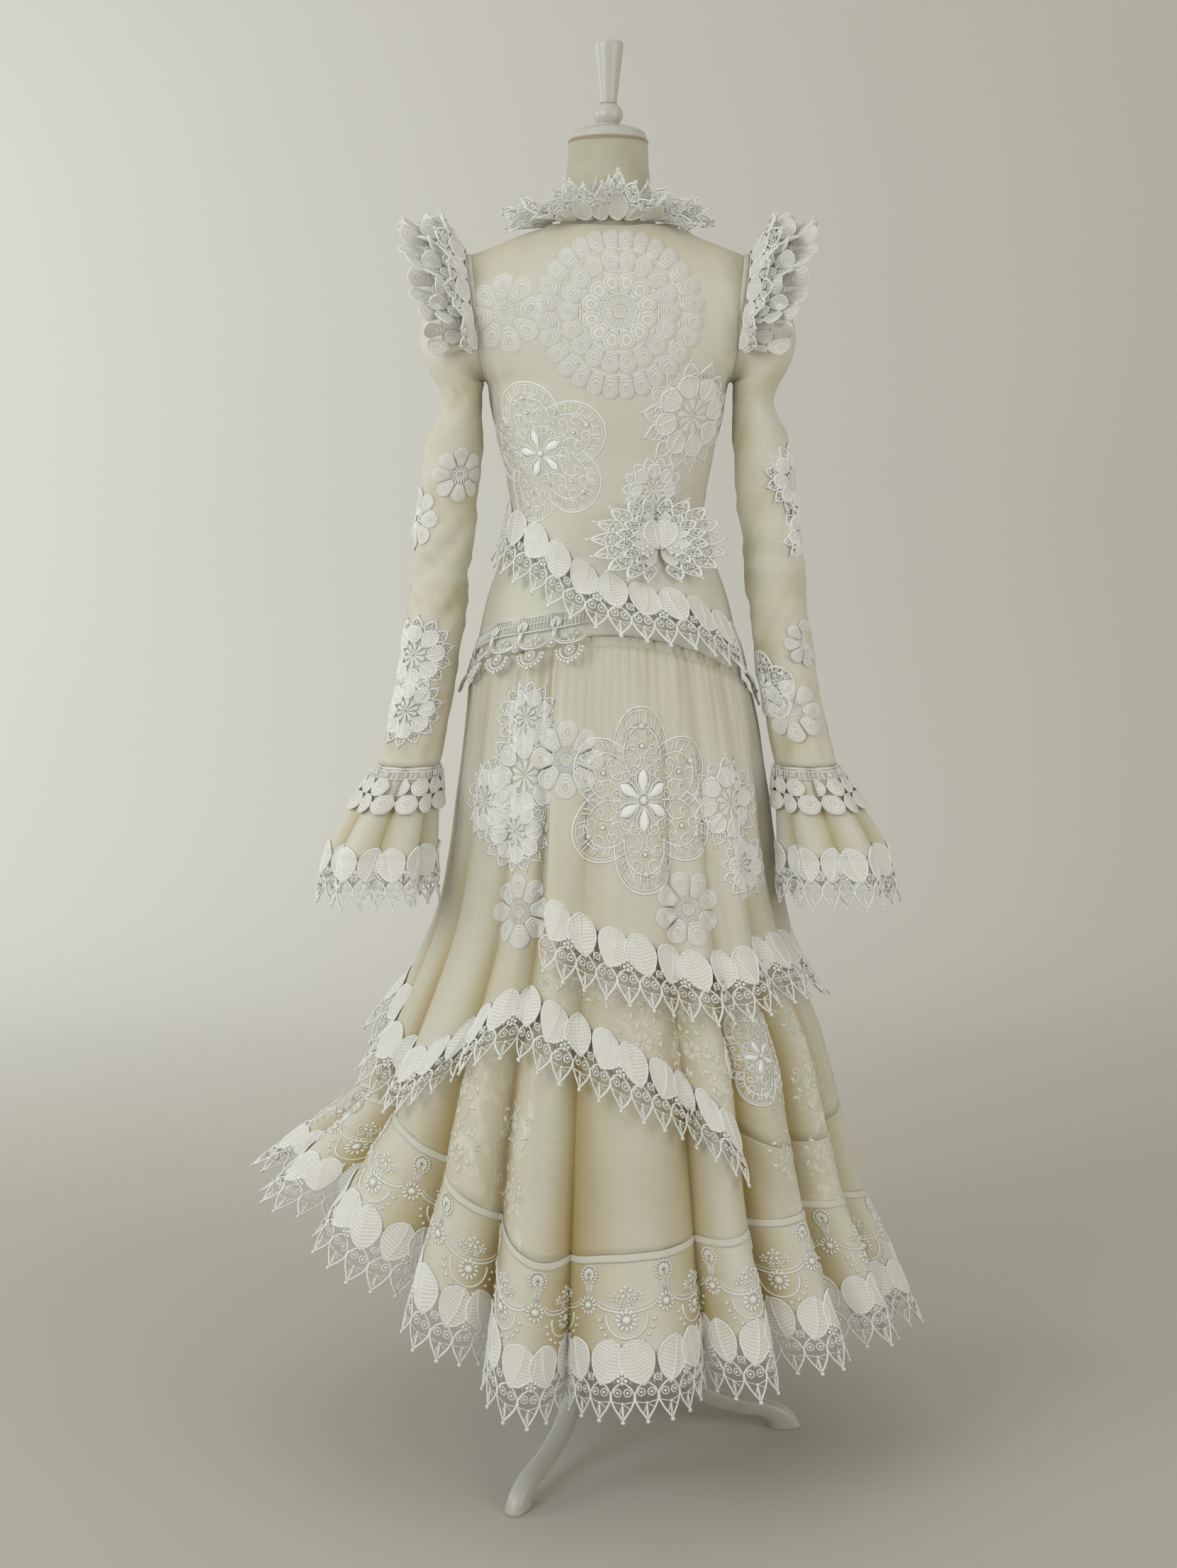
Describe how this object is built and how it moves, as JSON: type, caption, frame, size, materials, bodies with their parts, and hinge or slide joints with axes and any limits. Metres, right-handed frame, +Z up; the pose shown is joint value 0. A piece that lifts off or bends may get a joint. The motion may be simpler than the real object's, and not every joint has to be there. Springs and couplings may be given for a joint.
{
  "type": "lace dress on a dress form",
  "caption": "Long tiered lace dress with ruffled shoulders, flared cuffs and a folded hem flounce, standing on a limbless dress form with a wooden tripod.",
  "frame": {"origin": "on the floor, midway along the width and depth of the whole part", "axes": "+Z up along the form's pole, the dress's back faces -Y and its front +Y, +X is the wearer's right"},
  "size_m": [0.8886, 0.7076, 1.8],
  "materials": {
    "voile": "sheer cream voile with fine slubs across",
    "lace": "thick white corded lace",
    "form_cloth": "plain cream form cover",
    "painted_wood": "off-white satin paint"
  },
  "bodies": {
    "root": {"form_torso": "form_cloth", "neck_cap": "painted_wood", "finial_ball": "painted_wood", "finial": "painted_wood", "pole": "painted_wood", "tripod_hub": "painted_wood", "tripod_leg_1": "painted_wood", "tripod_leg_2": "painted_wood", "tripod_leg_3": "painted_wood", "bodice_back": "voile", "bodice_front": "voile", "sleeve_left": "voile", "sleeve_right": "voile", "cuff_left": "voile", "cuff_right": "voile", "cuff_frill_left": "lace", "cuff_frill_right": "lace", "cuff_lace_left_inner": "lace", "cuff_lace_left_outer": "lace", "cuff_lace_right_inner": "lace", "cuff_lace_right_outer": "lace", "petal_ruffle_left": "lace", "petal_ruffle_right": "lace", "leaf_ruffle_left": "lace", "leaf_ruffle_right": "lace", "collar_left": "lace", "collar_right": "lace", "waist_butterfly": "lace", "hip_lace": "lace", "hip_scallop_lace": "lace", "skirt_upper": "voile", "skirt_lower": "voile", "overskirt": "voile", "overskirt_lace": "lace", "skirt_lace": "lace", "hem_flounce": "voile", "hem_lace_back": "lace", "hem_lace_front": "lace"}
  },
  "joints": []
}
